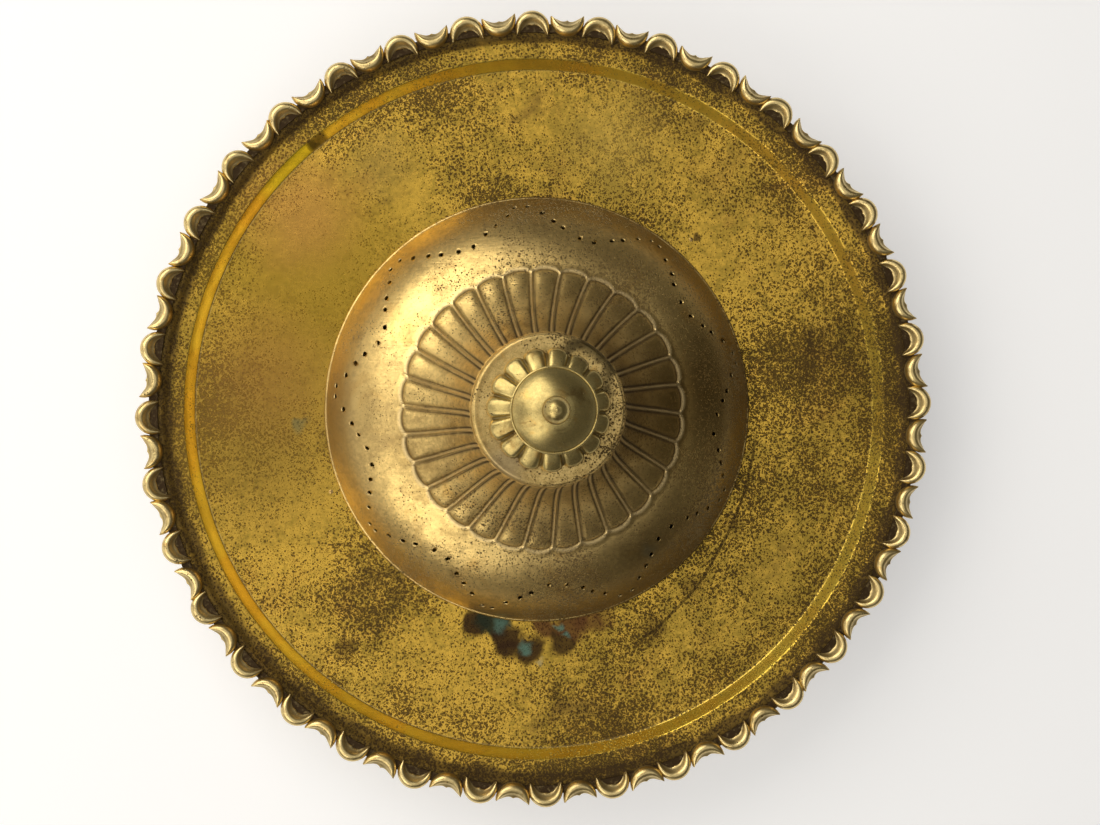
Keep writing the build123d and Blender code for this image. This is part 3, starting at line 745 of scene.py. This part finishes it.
low, high, wide = knobBox[0].z, knobBox[1].z, knobBox[1].x * finial["knobGrowth"]
edge = high - finial["capHeight"]
capRadius = (finial["capHeight"] ** 2 + finial["capHalf"] ** 2) / (2 * finial["capHeight"])
cap = [(capRadius * sin(radians(turn)), high - capRadius * (1 - cos(radians(turn)))) for turn in range(42, 9, -4)]
turnedPiece("finialKnob", [(bore, low), (13 * mm, low), (18 * mm, low + 3.0 * mm), (25 * mm, edge - 3.0 * mm),
                           (wide, edge - 1.2 * mm), (wide, edge + 0.3 * mm), (wide - 1.0 * mm, edge + 0.7 * mm),
                           (wide - 1.6 * mm, edge + 0.3 * mm)] + cap + [(bore, high), (bore, low)],
            "finial_knob", soft=0.6 * mm)
low, high = tipBox[0].z, tipBox[1].z
ballRadius = tipBox[1].x * finial["ballGrowth"]
ballMiddle = high - finial["nipple"] - ballRadius
ball = [(ballRadius * cos(radians(turn)), ballMiddle + ballRadius * sin(radians(turn))) for turn in range(-62, 83, 12)]
turnedPiece("finialTip", [(0.0, low + 2 * mm), (bore, low + 2 * mm), (bore, low), (5.6 * mm, low),
                          (5.6 * mm, low + 1.2 * mm)] + ball
            + [(1.7 * mm, ballMiddle + ballRadius + 0.2 * mm), (1.2 * mm, high - 0.3 * mm), (0.0, high)],
            "finial_tip", soft=0.5 * mm)
print("lid made")

# ---- carried-over CAD pieces get their finishes
finishes = {"tray_plugs": rivetBrass, "border_rivets": rivetBrass, "foot_washers": footBrass, "foot_nuts": footBrass,
            "foot_1": footBrass, "foot_2": footBrass, "foot_3": footBrass, "ember_pan": panBrass,
            "pan_handle_1": panBrass, "pan_handle_2": panBrass, "pan_rivets": rivetBrass, "finial_rod": footBrass,
            "finial_washer": footBrass, "finial_nut": footBrass}
for node, material in finishes.items():
    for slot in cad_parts[node].material_slots:
        slot.material = material

# ---- floor, light and camera
# the floor glows a little, so that it stays white all round
floorMaterial, floorTree, floorShader = newMaterial("paleFloor")
floorShader.inputs["Base Color"].default_value = (0.70, 0.70, 0.705, 1)
floorShader.inputs["Roughness"].default_value = 0.8
floorShader.inputs["Emission Color"].default_value = (1, 1, 1, 1)
floorShader.inputs["Emission Strength"].default_value = 0.40
bpy.ops.mesh.primitive_plane_add(size=12)
floor = bpy.context.object
floor.name = "floor"
floor.data.materials.append(floorMaterial)


def softLight(name, direction, distance, size, power, colour=(1, 1, 1)):
    data = bpy.data.lights.new(name, "AREA")
    data.shape = "RECTANGLE"
    data.size, data.size_y = size
    data.energy = power
    data.color = colour
    light = bpy.data.objects.new(name, data)
    light.location = Vector(direction).normalized() * distance + Vector((0, 0, fieldTop))
    light.rotation_euler = (-Vector(direction)).to_track_quat("-Z", "Y").to_euler()
    scene.collection.objects.link(light)


warm = (1.0, 0.95, 0.87)
softLight("upperWindow", (-0.52, 0.50, 0.72), 2.4, (2.1, 1.8), 34, warm)
softLight("lowerWindow", (-0.54, -0.50, 0.74), 2.4, (1.8, 1.6), 19, warm)
softLight("ceiling", (0.08, -0.02, 1.0), 3.0, (2.8, 2.6), 14)
softLight("lowLeft", (-1.0, 0.0, 0.28), 2.2, (2.4, 0.7), 6, warm)

world = bpy.data.worlds.new("studio")
world.use_nodes = True
world.node_tree.nodes["Background"].inputs[0].default_value = (0.105, 0.098, 0.085, 1)
world.node_tree.nodes["Background"].inputs[1].default_value = 1.0
scene.world = world

view = {"place": (-74.0, 3.3, 1260.0), "turn": (-0.256, -3.767), "lens": 54.26}
cameraData = bpy.data.cameras.new("camera")
cameraData.lens = view["lens"]
cameraData.sensor_width = 36
camera = bpy.data.objects.new("camera", cameraData)
camera.location = Vector(view["place"]) * mm + Vector((0, 0, fieldTop))
camera.rotation_euler = (radians(view["turn"][0]), radians(view["turn"][1]), 0)
scene.collection.objects.link(camera)
scene.camera = camera
